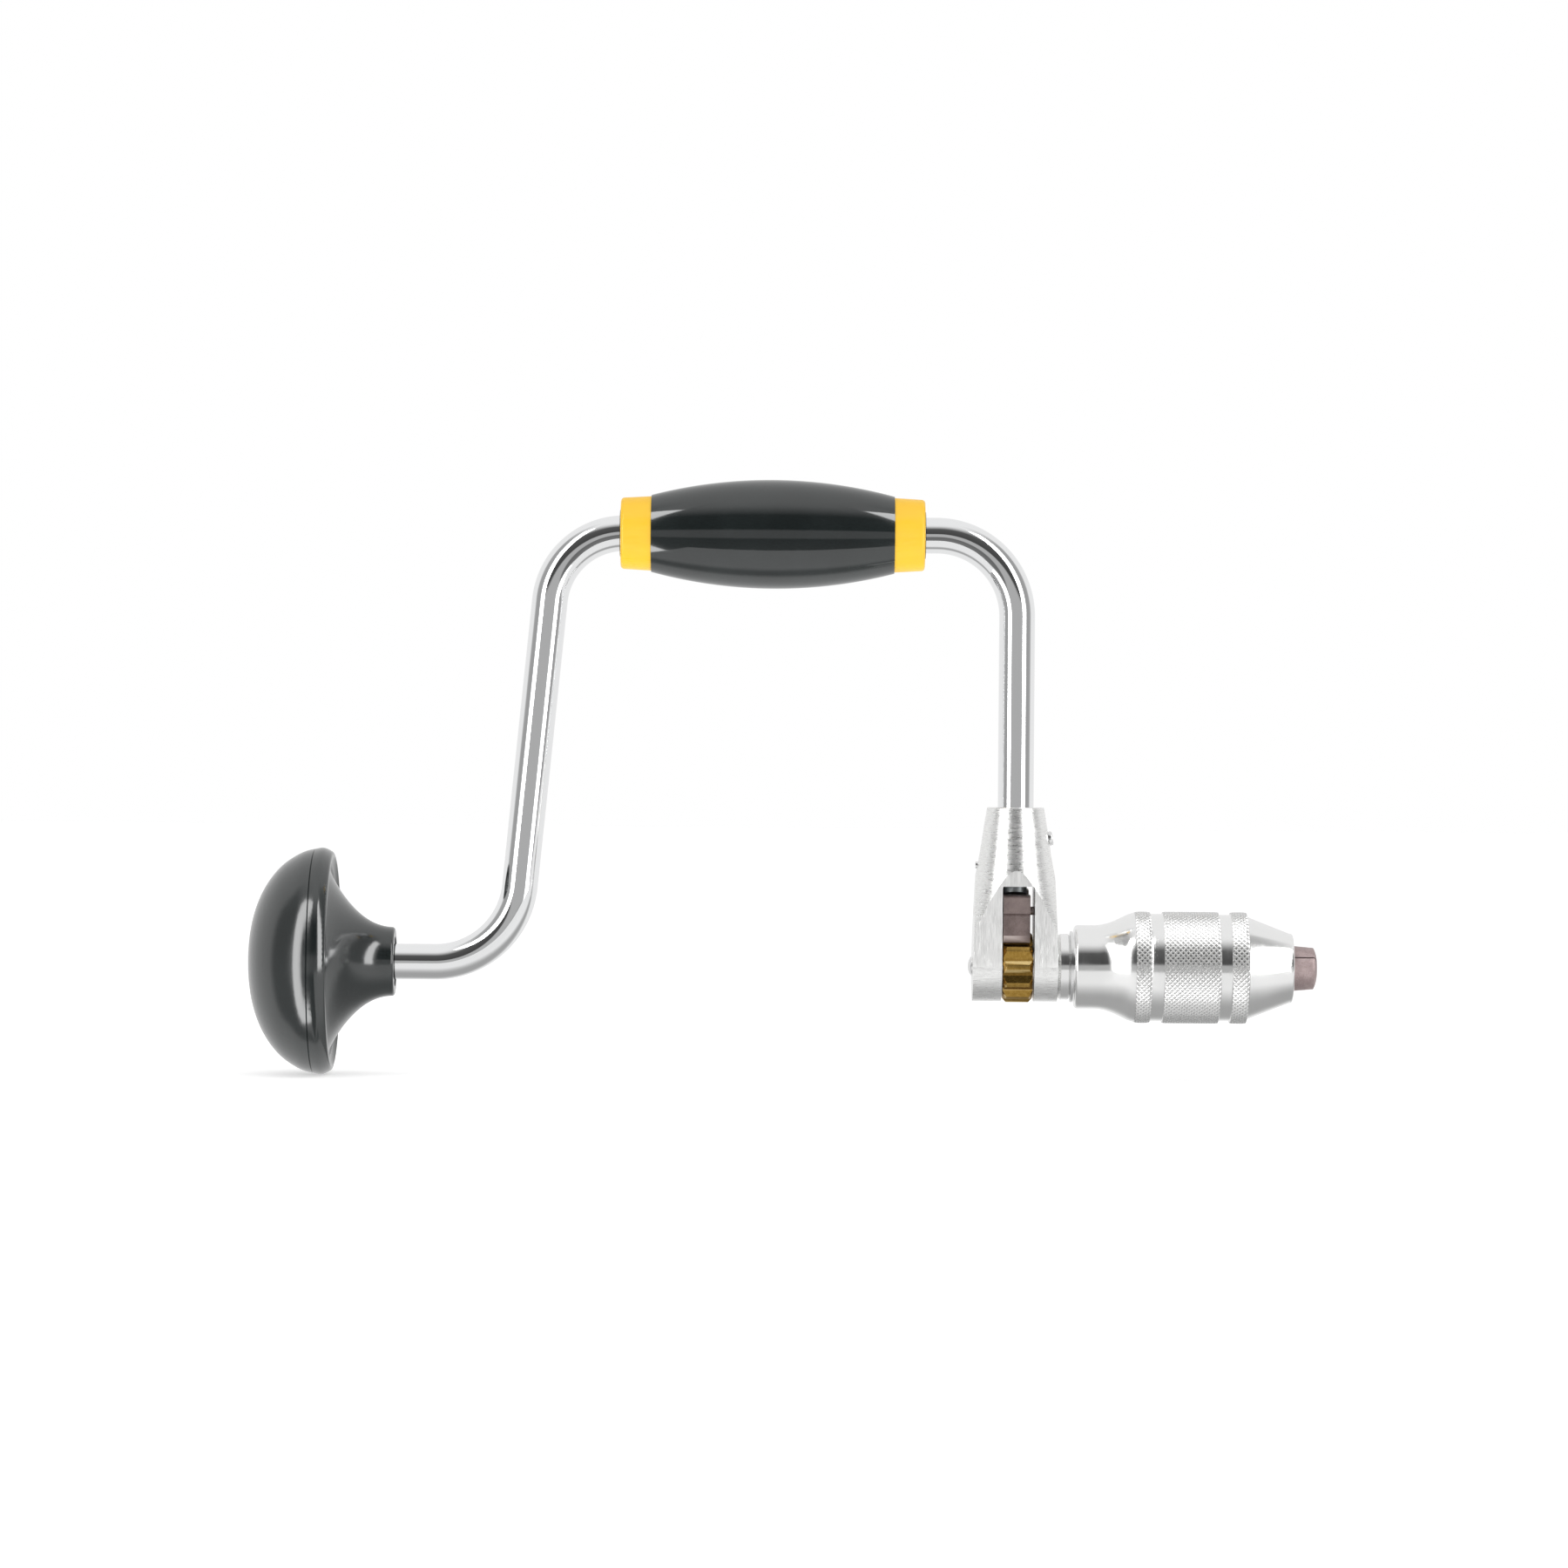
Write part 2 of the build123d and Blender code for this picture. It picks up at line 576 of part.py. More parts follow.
def spindle_screw():
    """Domed screw in the spindle's end, with its head outside the ear."""
    crown = SPINDLE_TAIL - 1.2
    dome = ThreePointArc((crown, 0, 0), (crown + 0.3, 0, 2.1), (SPINDLE_TAIL, 0, END_SCREW_HEAD_R))
    return turned_from(
        dome,
        line(SPINDLE_TAIL, END_SCREW_HEAD_R, SPINDLE_TAIL, END_SCREW_R),
        line(SPINDLE_TAIL, END_SCREW_R, END_SCREW_TIP, END_SCREW_R),
        line(END_SCREW_TIP, END_SCREW_R, END_SCREW_TIP, 0),
        line(END_SCREW_TIP, 0, crown, 0),
    )


def dust_ring():
    """Thin ring in front of the collar."""
    return ring_about_axis(COLLAR_RIGHT, COLLAR_RIGHT + 0.9, SPINDLE_R, DUST_RING_R)


# ---------------------------------------------------------------- shell, cup and jaws

def cone_radius(x):
    """Radius of the shell's inner cone at x, with the chuck closed."""
    return MOUTH_R + CONE_SLOPE * (SHELL_FRONT - x)


def chuck_shell():
    """Outer sleeve with three grip bands, screwed on the spindle, with a closing cone in its nose."""
    bell = Spline(
        (-79.5, 0, SHELL_REAR_R), (-74.6, 0, 15.5), (-69.6, 0, 17.3), (-64.7, 0, 19.4),
        tangents=[(1, 0, 0), (1, 0, 0.5)],
    )
    rear_corner = ThreePointArc(
        (SHELL_REAR, 0, 13.6), (SHELL_REAR + 0.35, 0, 14.45), (SHELL_REAR + 1.2, 0, SHELL_REAR_R))
    steps = [
        (-64.7, 19.4), (-64.7, KNURL_R), (-59.1, KNURL_R), (-58.7, 19.0), (-54.9, 19.0), (-54.6, KNURL_R),
        (-35.0, KNURL_R), (-34.7, GROOVE_R), (-31.0, GROOVE_R), (-30.7, KNURL_R), (-24.9, KNURL_R),
        (NOSE_BACK_X, NOSE_BACK_R), (SHELL_FRONT - 1.0, NOSE_R + 0.3), (SHELL_FRONT, NOSE_R - 0.8),
        (SHELL_FRONT, MOUTH_R), (SHELL_FRONT - (CAVITY_R - MOUTH_R) / CONE_SLOPE, CAVITY_R),
        (CAVITY_REAR, CAVITY_R), (CAVITY_REAR, SPINDLE_R + RUN), (SHELL_REAR, SPINDLE_R + RUN),
        (SHELL_REAR, 13.6),
    ]
    edges = [line(*a, *b) for a, b in zip(steps, steps[1:])]
    return turned_from(rear_corner, line(SHELL_REAR + 1.2, SHELL_REAR_R, -79.5, SHELL_REAR_R), bell, *edges)


def jaw_cup():
    """Conical cup inside the nose that presses on the jaws and doesn't turn with the shell."""
    front = cone_radius(CUP_FRONT) - CUP_PLAY
    rear = cone_radius(CUP_REAR) - CUP_PLAY
    return turned(
        (CUP_FRONT, front), (CUP_REAR, rear), (CUP_REAR, rear - CUP_WALL), (CUP_FRONT, front - CUP_WALL))


def jaw(side):
    """One jaw: a tapered half round with ground sides, a shank channel and a narrow tail."""
    drop = CUP_PLAY + CUP_WALL + GAP
    mouth_r = cone_radius(SHELL_FRONT) - drop
    shoulder_x = SHELL_FRONT - (JAW_SHOULDER_R - mouth_r) / CONE_SLOPE
    tip = ThreePointArc(
        (-JAW_TIP_ROUND, 0, JAW_TIP_R), (-0.55, 0, JAW_TIP_R - 1.4), (0, 0, JAW_FACE_R))
    front = turned_from(
        tip,
        line(0, JAW_FACE_R, 0, 0),
        line(0, 0, JAW_BACK, 0),
        line(JAW_BACK, 0, JAW_BACK, JAW_SHOULDER_R),
        line(JAW_BACK, JAW_SHOULDER_R, shoulder_x, JAW_SHOULDER_R),
        line(shoulder_x, JAW_SHOULDER_R, SHELL_FRONT, mouth_r),
        line(SHELL_FRONT, mouth_r, -JAW_TIP_ROUND, JAW_TIP_R),
    )
    front &= box_between((JAW_BACK, -JAW_FLAT, -20), (1, JAW_FLAT, 20))
    tail = box_between(
        (JAW_TAIL_END, -JAW_TAIL_HALF, -JAW_TAIL_R), (JAW_BACK, JAW_TAIL_HALF, JAW_TAIL_R))
    channel = rod_along((-CHANNEL_DEPTH, 0, 0), (1, 0, 0), CHANNEL_R)
    pocket_half = JAW_SPRING_LENGTH / 2 + 0.5
    pocket = rod_along((JAW_SPRING_X, 0, -pocket_half), (JAW_SPRING_X, 0, pocket_half), 2.0)
    half_space = box_between((-60, -20, SPLIT_GAP / 2), (5, 20, 20))
    whole = (front + tail - channel - pocket) & half_space
    if side < 0:
        whole = whole.rotate(Axis.X, 180)
    return in_split_frame(whole)


def jaw_spring():
    """Small coil spring that pushes the jaws apart."""
    spring = coil_spring(1.3, 0.25, 1.2, JAW_SPRING_LENGTH)
    return in_split_frame(Pos(JAW_SPRING_X, 0, -JAW_SPRING_LENGTH / 2) * spring)


PARTS = {
    "crank_frame": crank_frame,
    "ratchet_yoke": ratchet_yoke,
    "lock_screw": lock_screw,
    "locating_dowel": locating_dowel,
    "pawl_pin": pawl_pin,
    "pawl_rocker": pawl_rocker,
    "detent_plunger": detent_plunger,
    "detent_spring": detent_spring,
    "head_cap": head_cap,
    "head_body": head_body,
    "head_bush": head_bush,
    "head_circlip": head_circlip,
    "rod_race": rod_race,
    "pad_race": pad_race,
    "thrust_balls": thrust_balls,
    "bearing_cage": bearing_cage,
    "grip": grip,
    "collar_left": lambda: end_collar(GRIP_LEFT, -1),
    "collar_right": lambda: end_collar(GRIP_RIGHT, 1),
    "grip_bush_left": lambda: grip_bush(-240.0),
    "grip_bush_right": lambda: grip_bush(-162.0),
    "chuck_spindle": chuck_spindle,
    "ratchet_wheel": ratchet_wheel,
    "wheel_pin": wheel_pin,
    "spindle_screw": spindle_screw,
    "dust_ring": dust_ring,
    "chuck_shell": chuck_shell,
    "jaw_cup": jaw_cup,
    "jaw_upper": lambda: jaw(1),
    "jaw_lower": lambda: jaw(-1),
    "jaw_spring": jaw_spring,
}

os.makedirs("parts", exist_ok=True)
for name, make in PARTS.items():
    export_step(make(), f"parts/{name}.step")
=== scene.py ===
"""Looks of a ratchet bit brace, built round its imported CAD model.  Lengths are in metres."""
from math import cos, pi, radians, sin, tan

import bmesh
import bpy
from mathutils import Matrix, Vector


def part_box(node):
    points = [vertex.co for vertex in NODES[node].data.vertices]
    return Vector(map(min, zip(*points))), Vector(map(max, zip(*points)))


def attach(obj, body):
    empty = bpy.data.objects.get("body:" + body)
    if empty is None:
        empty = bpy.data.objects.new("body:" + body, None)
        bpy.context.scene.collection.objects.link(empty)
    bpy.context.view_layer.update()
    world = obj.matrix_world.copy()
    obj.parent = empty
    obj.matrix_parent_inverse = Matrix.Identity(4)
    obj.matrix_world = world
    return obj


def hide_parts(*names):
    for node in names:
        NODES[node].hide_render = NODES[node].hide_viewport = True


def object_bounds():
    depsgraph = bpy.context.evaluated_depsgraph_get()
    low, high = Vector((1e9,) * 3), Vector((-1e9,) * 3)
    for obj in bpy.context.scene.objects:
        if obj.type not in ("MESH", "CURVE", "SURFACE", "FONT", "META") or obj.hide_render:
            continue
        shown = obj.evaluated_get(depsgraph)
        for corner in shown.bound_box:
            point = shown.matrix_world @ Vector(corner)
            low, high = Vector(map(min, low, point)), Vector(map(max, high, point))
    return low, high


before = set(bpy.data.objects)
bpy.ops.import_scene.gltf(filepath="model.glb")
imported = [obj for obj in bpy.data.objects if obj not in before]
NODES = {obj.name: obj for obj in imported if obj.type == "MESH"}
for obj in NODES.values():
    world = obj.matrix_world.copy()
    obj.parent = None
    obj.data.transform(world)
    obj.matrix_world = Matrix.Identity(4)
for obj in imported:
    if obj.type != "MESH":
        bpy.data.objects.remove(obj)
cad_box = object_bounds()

MM = 0.001
scene = bpy.context.scene

# ------------------------------------------------------------------ camera

VIEW_WIDTH = 555.75 * MM       # width of the picture at the drive axis
CAMERA_DISTANCE = 2.1
CAMERA_ROLL = radians(0.45)
CAMERA_DROP = 1.8 * MM         # the lens aims this far below the middle of the brace
SENSOR = 36.0                  # in millimetres, as Blender counts sensors and lenses


def add_camera():
    """Long lens, level, square to the plane of the crank."""
    low, high = (Vector(corner) for corner in cad_box)
    aim = (low + high) / 2
    aim.y = 0
    aim.z -= CAMERA_DROP
    data = bpy.data.cameras.new("camera")
    data.sensor_width = SENSOR
    data.lens = SENSOR * CAMERA_DISTANCE / VIEW_WIDTH
    data.clip_start = 0.05
    data.clip_end = 50
    camera = bpy.data.objects.new("camera", data)
    look = Matrix.Rotation(pi / 2, 4, "X") @ Matrix.Rotation(CAMERA_ROLL, 4, "Z")
    camera.matrix_world = Matrix.Translation(aim + Vector((0, -CAMERA_DISTANCE, 0))) @ look
    scene.collection.objects.link(camera)
    scene.camera = camera


# ------------------------------------------------------------------ node graphs

class Graph:
    """Short calls for building a shader tree."""

    def __init__(self, tree):
        self.tree = tree

    def node(self, kind, **settings):
        node = self.tree.nodes.new(kind)
        for name, value in settings.items():
            setattr(node, name, value)
        return node

    def join(self, source, target):
        self.tree.links.new(source, target)

    def feed(self, socket, value):
        if isinstance(value, bpy.types.NodeSocket):
            self.join(value, socket)
        else:
            socket.default_value = value

    def math(self, operation, a, b=0.0, c=0.0):
        node = self.node("ShaderNodeMath", operation=operation)
        for socket, value in zip(node.inputs, (a, b, c)):
            self.feed(socket, value)
        return node.outputs[0]

    def split(self, vector):
        node = self.node("ShaderNodeSeparateXYZ")
        self.join(vector, node.inputs[0])
        return node.outputs

    def stretch(self, vector, scale):
        node = self.node("ShaderNodeMapping")
        self.join(vector, node.inputs["Vector"])
        node.inputs["Scale"].default_value = scale
        return node.outputs[0]

    def noise(self, vector, scale, detail=3.0, rough=0.55):
        node = self.node("ShaderNodeTexNoise")
        self.join(vector, node.inputs["Vector"])
        node.inputs["Scale"].default_value = scale
        node.inputs["Detail"].default_value = detail
        node.inputs["Roughness"].default_value = rough
        return node.outputs["Fac"]

    def span(self, value, low, high, out_low, out_high):
        node = self.node("ShaderNodeMapRange")
        node.interpolation_type = "SMOOTHSTEP"
        self.feed(node.inputs["Value"], value)
        limits = {"From Min": low, "From Max": high, "To Min": out_low, "To Max": out_high}
        for name, number in limits.items():
            node.inputs[name].default_value = number
        return node.outputs["Result"]

    def blend(self, factor, a, b):
        node = self.node("ShaderNodeMix", data_type="RGBA")
        self.feed(node.inputs[0], factor)
        for socket, colour in ((node.inputs[6], a), (node.inputs[7], b)):
            self.feed(socket, colour if isinstance(colour, bpy.types.NodeSocket) else (*colour, 1))
        return node.outputs[2]

    def ramp(self, value, stops):
        node = self.node("ShaderNodeValToRGB")
        self.join(value, node.inputs[0])
        elements = node.color_ramp.elements
        while len(elements) < len(stops):
            elements.new(1.0)
        for element, (place, grey) in zip(elements, stops):
            element.position = place
            element.color = (grey, grey, grey, 1)
        return node.outputs["Color"]

    def bump(self, height, strength, distance, below=None):
        node = self.node("ShaderNodeBump")
        self.join(height, node.inputs["Height"])
        node.inputs["Strength"].default_value = strength
        node.inputs["Distance"].default_value = distance
        if below is not None:
            self.join(below, node.inputs["Normal"])
        return node.outputs["Normal"]


class Finish(Graph):
    """A material with one Principled shader; constants go straight on its sockets."""

    def __init__(self, name, colour, metallic, roughness, **sockets):
        self.material = bpy.data.materials.new(name)
        self.material.use_nodes = True
        super().__init__(self.material.node_tree)
        self.shader = self.tree.nodes["Principled BSDF"]
        self.set("Base Color", (*colour, 1))
        self.set("Metallic", metallic)
        self.set("Roughness", roughness)
        for socket, value in sockets.items():
            self.set(socket.replace("_", " "), value)
        self.place = self.node("ShaderNodeTexCoord").outputs["Object"]

    def set(self, socket, value):
        self.feed(self.shader.inputs[socket], value)


# ------------------------------------------------------------------ studio

CARD_REACH = 0.27              # the reflector ends this far in front of the crank
STRIP_BEARING = radians(47.5)  # the two strip lights stand this far either side of straight ahead
STRIP_DISTANCE = 1.6
STRIP_WIDTH = 0.56
STRIP_HEIGHT = 5.0
STRIP_GLOW = 4.8
TOP_PLACE = Vector((0, -0.5, 1.5))
TOP_SIZE = (1.6, 1.2)
TOP_GLOW = 1.2
FILL_PLACE = Vector((0, -1.9, 0.3))
FILL_SIZE = (1.5, 1.5)
FILL_GLOW = 1.8
FLOOR_REACH = 12
FLOOR_GLOW = 0.5
CARD_RIGHT = 3
CARD_BACK = 4
CARD_BELOW = 1 * MM            # the card lies this far under the floor
WHITE = (1, 1, 1, 1)


def flat_sheet(name, left, front, right, back, height):
    """Level rectangle that belongs to the studio."""
    mesh = bpy.data.meshes.new(name)
    corners = [(left, front), (right, front), (right, back), (left, back)]
    mesh.from_pydata([(x, y, height) for x, y in corners], [], [(0, 1, 2, 3)])
    sheet = bpy.data.objects.new(name, mesh)
    scene.collection.objects.link(sheet)
    return sheet


def add_floor():
    """White floor that the brace stands on, and a pale glowing card that its metal reflects instead, with
    the brace's shadow painted on the card.
    """
    floor_z = Vector(cad_box[0]).z
    floor = flat_sheet("floor", -FLOOR_REACH, -FLOOR_REACH, FLOOR_REACH, FLOOR_REACH, floor_z)
    floor.visible_glossy = False
    floor.visible_shadow = False
    paper = Finish("floor_paper", (0.72, 0.72, 0.72), 0.0, 0.9)
    paper.set("Emission Color", WHITE)
    paper.set("Emission Strength", FLOOR_GLOW)
    grain = paper.noise(paper.place, 900.0)
    paper.set("Normal", paper.bump(grain, 0.05, 0.0002))
    floor.data.materials.append(paper.material)

    rim, mouth = (corner[0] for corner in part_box("head_body"))
    card_left = (rim + mouth) / 2
    card = flat_sheet("card", card_left, -CARD_REACH, CARD_RIGHT, CARD_BACK, floor_z - CARD_BELOW)
    card.visible_camera = False
    card.visible_diffuse = False
    card.visible_shadow = False
    glow = Finish("card_glow_painted_shadow", (0, 0, 0), 0.0, 1.0, Specular_IOR_Level=0.0)
    away = glow.math("ABSOLUTE", glow.split(glow.place)[1])      # metres from the plane of the crank
    glow.set("Emission Color", WHITE)
    # painted shadow: the card glows dimmer within a few centimetres of the plane of the crank, under the
    # brace, and at full strength further out
    glow.set("Emission Strength", glow.span(away, 0.008, 0.055, 0.38, 0.86))
    card.data.materials.append(glow.material)


def add_sky():
    """Plain white to the camera; in reflections, a dim room ahead with paler sides and a pale ceiling.

    bearing runs from 0 straight ahead of the brace to 1 behind it, height from -1 below to 1 above.
    """
    world = bpy.data.worlds.new("studio")
    scene.world = world
    world.use_nodes = True
    world.node_tree.nodes.clear()
    sky = Graph(world.node_tree)
    x, y, z = sky.split(sky.node("ShaderNodeTexCoord").outputs["Generated"])
    turn = sky.math("ARCTAN2", x, sky.math("MULTIPLY", y, -1.0))
    bearing = sky.math("DIVIDE", sky.math("ABSOLUTE", turn), pi)
    height = sky.math("DIVIDE", sky.math("ARCSINE", z), pi / 2)
    around = sky.ramp(bearing, [
        (0.0, 0.47), (0.16, 0.46), (0.185, 0.33), (0.21, 0.80), (0.325, 0.80), (0.36, 0.34), (0.50, 0.38),
        (0.56, 0.86), (1.0, 0.88),
    ])
    from_below = sky.math("MULTIPLY_ADD", height, 0.5, 0.5)
    ahead = sky.ramp(from_below, [
        (0.0, 0.30), (0.43, 0.14), (0.447, 0.44), (0.53, 0.44), (0.548, 0.06), (0.715, 0.09), (0.765, 0.36),
        (0.855, 0.74), (1.0, 1.0),
    ])
    level = sky.blend(sky.span(bearing, 0.17, 0.20, 0.0, 1.0), ahead, around)
    level = sky.blend(sky.span(height, 0.50, 0.85, 0.0, 1.0), level, (0.88, 0.88, 0.88))
    room = sky.node("ShaderNodeBackground")
    sky.feed(room.inputs["Color"], level)
    plain = sky.node("ShaderNodeBackground")
    plain.inputs["Color"].default_value = WHITE
    pick = sky.node("ShaderNodeMixShader")
    sky.join(sky.node("ShaderNodeLightPath").outputs["Is Camera Ray"], pick.inputs[0])
    sky.join(room.outputs[0], pick.inputs[1])
    sky.join(plain.outputs[0], pick.inputs[2])
    sky.join(pick.outputs[0], sky.node("ShaderNodeOutputWorld").inputs["Surface"])


def add_softbox(name, place, aim, size, glow):
    """One rectangular area light, (width, height) in size, of a given brightness."""
    width, height = size
    data = bpy.data.lights.new(name, "AREA")
    data.shape = "RECTANGLE"
    data.size = width
    data.size_y = height
    data.energy = glow * pi * width * height
    lamp = bpy.data.objects.new(name, data)
    lamp.location = place
    lamp.rotation_euler = (Vector(aim) - Vector(place)).to_track_quat("-Z", "Y").to_euler()
    lamp.visible_camera = False
    scene.collection.objects.link(lamp)
    return lamp


def add_lights():
    """Two tall strips for the highlights, and broad top and front lights for the shading."""
    centre = (Vector(cad_box[0]) + Vector(cad_box[1])) / 2
    for name, side in (("left_strip", -1), ("right_strip", 1)):
        reach = Vector((side * sin(STRIP_BEARING), -cos(STRIP_BEARING), 0)) * STRIP_DISTANCE
        strip = add_softbox(name, centre + reach, centre, (STRIP_WIDTH, STRIP_HEIGHT), STRIP_GLOW)
        strip.visible_diffuse = False
    top = add_softbox("top_light", centre + TOP_PLACE, centre, TOP_SIZE, TOP_GLOW)
    top.visible_glossy = False
    fill = add_softbox("front_fill", centre + FILL_PLACE, centre, FILL_SIZE, FILL_GLOW)
    fill.visible_glossy = False
    scene.view_settings.view_transform = "Standard"
    scene.view_settings.look = "None"


# ------------------------------------------------------------------ materials

def chrome_rod():
    """Bright chrome over drawn rod: fine lines along it, soft smears, a fine grain."""
    f = Finish("chrome_rod", (0.90, 0.905, 0.91), 1.0, 0.1)
    uv = f.node("ShaderNodeUVMap", uv_map="run").outputs["UV"]
    draw = f.noise(f.stretch(uv, (260, 3, 1)), 1.0, 4.0)
    smear = f.noise(f.place, 90.0, 3.0)
    wear = f.math("ADD", f.math("MULTIPLY", draw, 0.5), f.math("MULTIPLY", smear, 0.5))
    f.set("Roughness", f.span(wear, 0.3, 0.7, 0.03, 0.08))
    lines = f.bump(draw, 0.05, 0.00006)
    f.set("Normal", f.bump(f.noise(f.place, 2400.0, 2.0), 0.03, 0.00004, lines))
    return f.material


def turned_nickel():
    """Bright nickel over lathe-turned steel: fine rings round the drive axis."""
    f = Finish("turned_nickel", (0.90, 0.90, 0.895), 1.0, 0.12)
    rings = f.noise(f.stretch(f.place, (5200, 60, 60)), 1.0, 4.0)
    smear = f.noise(f.place, 140.0, 3.0)
    wear = f.math("MULTIPLY_ADD", smear, 0.5, f.math("MULTIPLY", rings, 0.5))
    f.set("Roughness", f.span(wear, 0.3, 0.7, 0.07, 0.22))
    f.set("Normal", f.bump(rings, 0.14, 0.00004))
    return f.material


def knurled_nickel(name, colour, sheen):
    """The same plating where the knurling tool has pressed it: even, with a very fine grain."""
    f = Finish(name, colour, 1.0, sheen)
    grain = f.noise(f.place, 2500.0, 2.0)
    f.set("Roughness", f.span(grain, 0.3, 0.7, sheen * 0.8, sheen * 1.25))
    f.set("Normal", f.bump(grain, 0.03, 0.00004))
    return f.material


def ground_nickel():
    """Satin nickel on the forged yoke: upright grinding on the flats, coarse cross brushing elsewhere."""
    f = Finish("ground_nickel", (0.88, 0.88, 0.87), 1.0, 0.2)
    facing = f.math("ABSOLUTE", f.split(f.node("ShaderNodeNewGeometry").outputs["True Normal"])[1])
    on_flat = f.span(facing, 0.990, 0.999, 0.0, 1.0)
    off_flat = f.math("SUBTRACT", 1.0, on_flat)
    upright = f.noise(f.stretch(f.place, (2800, 2800, 190)), 1.0, 4.0, 0.7)
    deep = f.span(f.noise(f.stretch(f.place, (2600, 2600, 200)), 1.0, 2.0), 0.62, 0.74, 0.0, 1.0)
    across = f.noise(f.stretch(f.place, (380, 380, 3000)), 1.0, 3.0, 0.6)
    flat_cut = f.math("MULTIPLY", f.math("MULTIPLY_ADD", deep, -0.5, upright), on_flat)
    side_cut = f.math("MULTIPLY", across, off_flat)
    scratch = f.math("MULTIPLY_ADD", upright, on_flat, side_cut)
    rough = f.span(scratch, 0.25, 0.75, 0.25, 0.34)
    f.set("Roughness", f.math("MULTIPLY_ADD", on_flat, 0.12, rough))
    tone = f.span(scratch, 0.3, 0.7, 0.0, 1.0)
    f.set("Base Color", f.blend(tone, (0.80, 0.80, 0.79), (0.93, 0.93, 0.92)))
    ground = f.bump(flat_cut, 0.6, 0.00007)
    f.set("Normal", f.bump(side_cut, 0.75, 0.00014, ground))
    return f.material


def sintered_brown(name, dark, light):
    """Brown sintered steel: fine grain, uneven tone, and pale sharp edges painted as an edge highlight."""
    f = Finish(name, dark, 0.75, 0.45)
    grain = f.noise(f.place, 3200.0, 3.0, 0.7)
    cloud = f.noise(f.place, 260.0, 3.0)
    # painted highlight: sharp edges, found by pointiness, are lightened to a pale pink-brown
    painted_edge_highlight = f.span(f.node("ShaderNodeNewGeometry").outputs["Pointiness"], 0.52, 0.60, 0.0, 0.8)
    tone = f.math("MULTIPLY_ADD", grain, 0.6, f.math("MULTIPLY", cloud, 0.4))
    body = f.blend(f.span(tone, 0.35, 0.65, 0.0, 1.0), dark, light)
    f.set("Base Color", f.blend(painted_edge_highlight, body, (0.62, 0.54, 0.52)))
    f.set("Roughness", f.span(grain, 0.3, 0.7, 0.34, 0.55))
    f.set("Normal", f.bump(grain, 0.22, 0.00008))
    return f.material


def gold_plate():
    """Yellow passivated steel: fine and even, with painted shade darkening the roots to brown and a painted
    highlight making the sharp edges pale.
    """
    f = Finish("gold_plate", (0.46, 0.27, 0.06), 1.0, 0.3)
    shape = f.node("ShaderNodeNewGeometry").outputs["Pointiness"]
    cloud = f.noise(f.place, 900.0, 3.0)
    grain = f.noise(f.stretch(f.place, (900, 5200, 5200)), 1.0, 3.0)
    body = f.blend(f.span(cloud, 0.3, 0.7, 0.0, 1.0), (0.31, 0.18, 0.035), (0.40, 0.245, 0.06))
    # painted shade: the hollow roots of the teeth are darkened towards dark brown
    body = f.blend(f.span(shape, 0.42, 0.49, 0.75, 0.0), body, (0.10, 0.055, 0.012))
    # painted highlight: the sharp edges are lightened to pale gold
    f.set("Base Color", f.blend(f.span(shape, 0.515, 0.57, 0.0, 0.9), body, (0.88, 0.66, 0.30)))
    f.set("Roughness", f.span(grain, 0.3, 0.7, 0.18, 0.28))
    f.set("Normal", f.bump(grain, 0.12, 0.00005))
    return f.material


def moulded(name, colour, shade, roughness, **sockets):
    """Glossy moulded plastic: faint orange peel, hazy handling marks, hairline scratches."""
    f = Finish(name, colour, 0.0, roughness, **sockets)
    peel = f.noise(f.place, 420.0, 2.0)
    haze = f.noise(f.place, 45.0, 4.0)
    hair = f.noise(f.stretch(f.place, (90, 2600, 900)), 1.0, 2.0)
    f.set("Base Color", f.blend(f.span(haze, 0.35, 0.7, 0.0, 1.0), colour, shade))
    wear = f.math("MULTIPLY_ADD", hair, 0.4, f.math("MULTIPLY", haze, 0.6))
    f.set("Roughness", f.span(wear, 0.35, 0.65, roughness * 0.8, roughness * 1.4))
    f.set("Normal", f.bump(hair, 0.02, 0.00003, f.bump(peel, 0.05, 0.0001)))
    return f.material


def plain_steel(name, colour, roughness):
    """Small steel parts: fine turning marks and a light oil haze."""
    f = Finish(name, colour, 1.0, roughness)
    marks = f.noise(f.stretch(f.place, (3000, 500, 500)), 1.0, 3.0)
    haze = f.noise(f.place, 300.0, 3.0)
    f.set("Roughness", f.span(haze, 0.3, 0.7, roughness * 0.7, roughness * 1.5))
    f.set("Normal", f.bump(marks, 0.12, 0.00005))
    return f.material


# ------------------------------------------------------------------ mesh tools

DIAMOND_FLAT = 0.45            # share of a knurled diamond that stays flat on top
KNURL_SKIN = 1.2 * MM          # thickness of a knurled band under its grooves
KNURL_EDGE_DROP = 0.12 * MM    # how much the last row of diamonds is lower


def new_piece(name, bm, materials, body, replaced, sharp):
    """Turns a bmesh into a piece that rides on a body and stands for one CAD node."""
    bmesh.ops.recalc_face_normals(bm, faces=bm.faces)
    mesh = bpy.data.meshes.new(name)
    bm.to_mesh(mesh)
    bm.free()
    mesh.polygons.foreach_set("use_smooth", [True] * len(mesh.polygons))
    mesh.set_sharp_from_angle(angle=radians(sharp))
    piece = bpy.data.objects.new(name, mesh)
    scene.collection.objects.link(piece)
    for material in materials:
        mesh.materials.append(material)
    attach(piece, body)
    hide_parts(replaced)


def arc(centre, radius, start, end, steps):
    """Points on an arc, as (x, r), with angles in degrees."""
    turns = [radians(start + (end - start) * i / steps) for i in range(steps + 1)]
    return [(centre[0] + radius * cos(a), centre[1] + radius * sin(a)) for a in turns]


